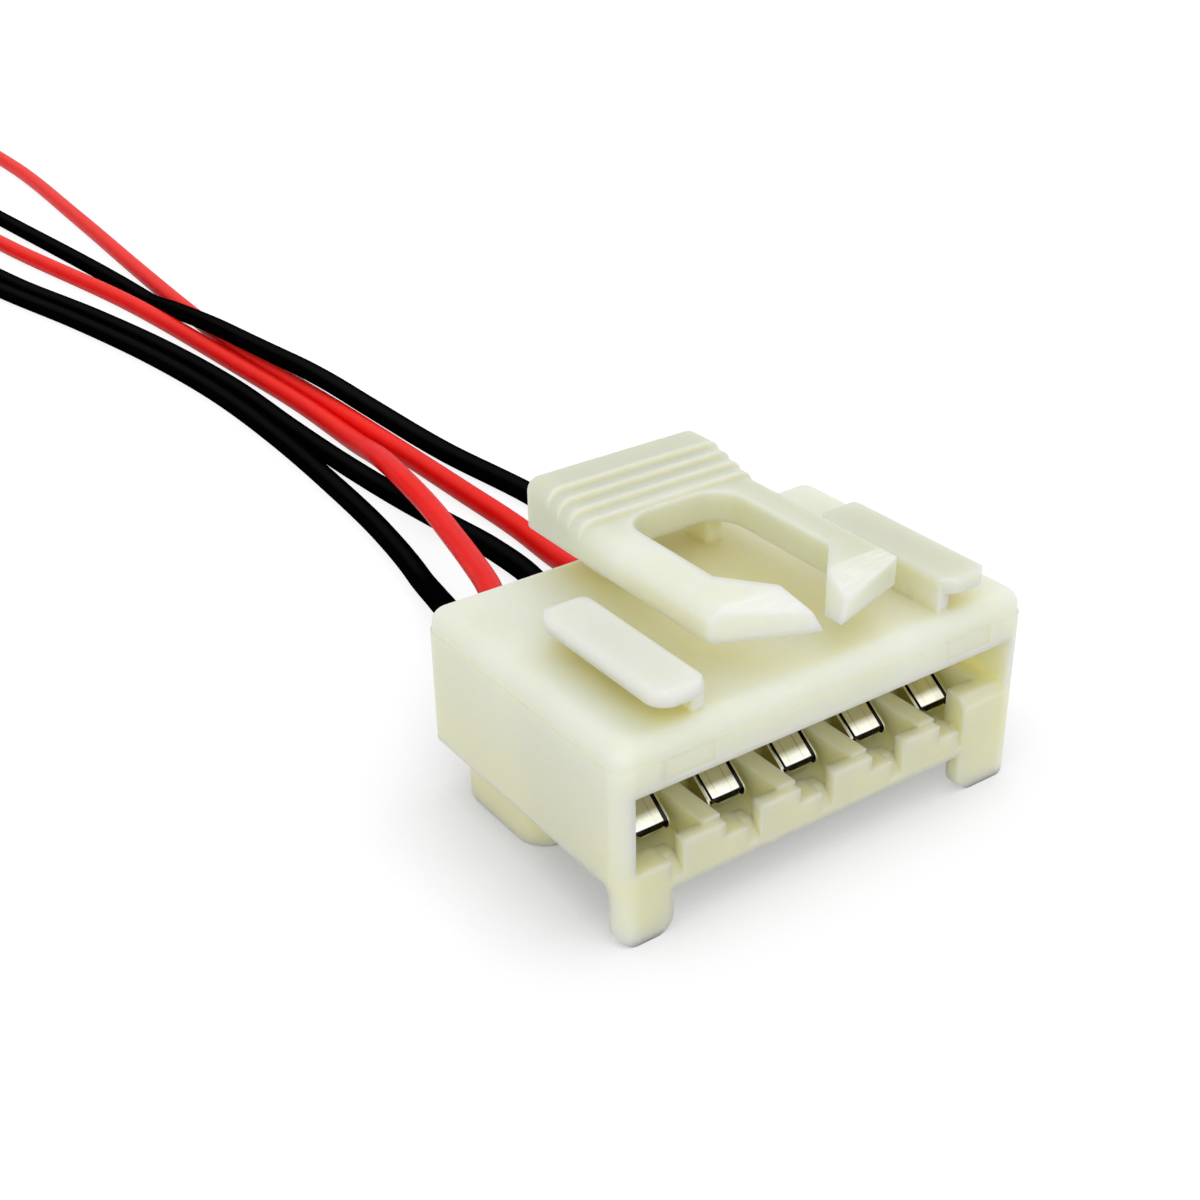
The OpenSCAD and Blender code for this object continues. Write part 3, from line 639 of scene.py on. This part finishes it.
def cheek_outline():
    """The side plate, which runs round the nose and up beside the leaf, and steps down towards the crimps."""
    rim = NOSE_R + STRIP / 2 - CHEEK_SETBACK
    points = [(BASE_FRONT, CAVITY_Z)]
    points += [(NOSE_D - rim * math.sin(slope), NOSE_Z + rim * math.cos(slope))
               for slope in arc(math.pi, RISE, CHEEK_STEPS)]
    top, low = CAVITY_Z + CHEEK_H, CAVITY_Z + CHEEK_REAR_H
    top_front = points[-1][0] + (top - points[-1][1]) / math.tan(RISE)
    slope_front, slope_rear = (BOX_REAR - back for back in CHEEK_SLOPE)
    points += [(top_front - EASE_FRONT[0], top - CHEEK_EASE), (top_front + EASE_FRONT[1], top),
               (slope_front, top), (slope_front + EASE_REAR, top - CHEEK_EASE), (slope_rear, low),
               (BOX_REAR, low - CHEEK_DROP), (BOX_REAR, CAVITY_Z)]
    return points


def add_crimp(bm, x0, front, length, bar_r):
    """A barrel rolled round the wire, open along a fine seam on top, on a narrow foot."""
    inner = bar_r + CRIMP_CLEAR
    outer = inner + STRIP
    turns = [math.radians(a) for a in arc(90 + SEAM_DEG, 450 - SEAM_DEG, CRIMP_SIDES)]
    rings = []
    for step in range(CRIMP_STEPS + 1):
        depth = front + length * step / CRIMP_STEPS
        flare = CRIMP_FLARE if step in (0, CRIMP_STEPS) else 0.0
        loop = [(outer + flare / 2, a) for a in turns] + [(inner + flare, a) for a in reversed(turns)]
        rings.append([Vector((x0 + r * math.cos(a), FRONT_Y + depth, WIRE_Z + r * math.sin(a)))
                      for r, a in loop])
    sweep(bm, rings)
    foot = rectangle(front + FOOT_INSET, front + length - FOOT_INSET, CAVITY_Z, WIRE_Z - inner - CRIMP_CLEAR)
    add_plate(bm, foot, x0 - bar_r, x0 + bar_r)


def make_contact(k):
    x0 = way_x(k)
    base_top = CAVITY_Z + STRIP
    base = rectangle(BASE_FRONT, BOX_REAR, CAVITY_Z, base_top)
    neck = rectangle(BOX_REAR - NECK_OVERLAP, CONTACT_REAR, CAVITY_Z, base_top)
    bm = bmesh.new()
    add_leaf(bm, x0)
    for left, right in PLATES:
        add_plate(bm, cheek_outline(), x0 + left, x0 + right, CHEEK_SOFT)
    add_plate(bm, base, x0 + PLATES[0][0] + BASE_INSET, x0 + PLATES[1][1] - BASE_INSET)
    add_plate(bm, neck, x0 - CORE_R, x0 + CORE_R)
    add_crimp(bm, x0, CORE_CRIMP, CORE_CRIMP_L, CORE_R)
    add_crimp(bm, x0, WIRE_CRIMP, WIRE_CRIMP_L, WIRE_R)
    obj = new_mesh("contact_%d_strip" % k, bm, TIN)
    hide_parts("contact_%d" % k)
    return settle(obj)


for k in range(1, WAYS + 1):
    make_contact(k)


# Housing: the CAD node itself, with a crisper rear block over its own

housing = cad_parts["housing"]
housing.data.materials.clear()
housing.data.materials.append(NYLON)


def make_rear_block():
    """The rear block with its crisp lower edge, over the softer one of the CAD node."""
    half_w = BLOCK_HALF_W + BLOCK_PROUD
    half_d = (BLOCK_REAR - BLOCK_FRONT) / 2 + BLOCK_PROUD
    middle = FRONT_Y + (BLOCK_FRONT + BLOCK_REAR) / 2
    bm = bmesh.new()
    sweep(bm, [[Vector((x, middle + y, z))
                for x, y in rounded_bar(half_w - inset, half_d - inset, BLOCK_R - inset, BLOCK_STEPS)]
               for inset, z in BLOCK_RINGS])
    return settle(new_mesh("rear_block", bm, NYLON))


make_rear_block()


# Floor, world and lights: the floor's half width in metres, its painted shade and glow in millimetres

FLOOR_HALF = 6
FLOOR_BOUNCE, FLOOR_SHOWN = (0.80, 0.80, 0.80, 1), (0.25, 0.25, 0.26, 1)
CONTACT_SHADE = 10
SHADE_REAR, SHADE_FRONT = (24, 8), (-18, -8)
GLOW_Y = (14, 60)
SKY_LIGHT = 0.75


def background_rays(graph):
    """One where a ray comes straight from the camera, a mirror-like surface or a clear one."""
    path = graph.add("LightPath").outputs
    seen = graph.maths("MAXIMUM", path["Is Camera Ray"], path["Is Glossy Ray"])
    return graph.maths("MAXIMUM", seen, path["Is Transmission Ray"])


def make_floor():
    """A pale floor that shows nearly white, with a soft shade close to the object: real shadow in its diffuse
    part and painted shadow where its glow is dimmed.
    """
    material, graph = new_material("pale_floor")
    bounce = graph.add("BsdfDiffuse", {"Color": FLOOR_BOUNCE})
    shown = graph.add("BsdfDiffuse", {"Color": FLOOR_SHOWN})
    back = graph.split(graph.place())[1]
    open_sky = graph.add("AmbientOcclusion", {"Distance": CONTACT_SHADE * MM},
                         samples=RAY_SAMPLES).outputs["AO"]
    # Painted shadow: the glow dims close to the object, less at the front
    near_shade = graph.times(graph.ramp(open_sky, 0.95, 0.2), graph.fade(back, *SHADE_REAR),
                       graph.fade(back, *SHADE_FRONT, 0.12, 0.5))
    # The glow rises a little towards the back, painted light that pales the wires' shadows
    glow = graph.maths("SUBTRACT", graph.fade(back, *GLOW_Y, 0.81, 0.86), near_shade)
    glow = graph.add("Emission", {"Color": WHITE, "Strength": glow})
    both = graph.add("AddShader", {0: shown.outputs[0], 1: glow.outputs[0]})
    pick = graph.add("MixShader", {0: background_rays(graph), 1: bounce.outputs[0], 2: both.outputs[0]})
    graph.add("OutputMaterial", {"Surface": pick.outputs[0]})
    bm = bmesh.new()
    bmesh.ops.create_grid(bm, x_segments=1, y_segments=1, size=FLOOR_HALF)
    new_mesh("floor", bm, material)


def make_world():
    """Even light from all sides, which shows as white."""
    world = bpy.data.worlds.new("studio")
    scene.world = world
    world.use_nodes = True
    graph = Graph(world.node_tree)
    light = graph.add("Background", {"Color": WHITE, "Strength": SKY_LIGHT})
    white = graph.add("Background", {"Color": WHITE, "Strength": 1.0})
    pick = graph.add("MixShader", {0: background_rays(graph), 1: light.outputs[0], 2: white.outputs[0]})
    graph.add("OutputWorld", {"Surface": pick.outputs[0]})


def make_sun(name, toward, angle, strength):
    """A broad soft sheet of light that shines from a direction."""
    data = bpy.data.lights.new(name, "SUN")
    data.angle = math.radians(angle)
    data.energy = strength
    obj = bpy.data.objects.new(name, data)
    scene.collection.objects.link(obj)
    obj.rotation_mode = "QUATERNION"
    obj.rotation_quaternion = Vector(toward).to_track_quat("Z", "Y")


make_floor()
make_world()
make_sun("key", toward=(0.7, 0.3, 0.9), angle=60, strength=0.35)
make_sun("fill", toward=(-0.6, -0.9, 0.5), angle=80, strength=0.7)
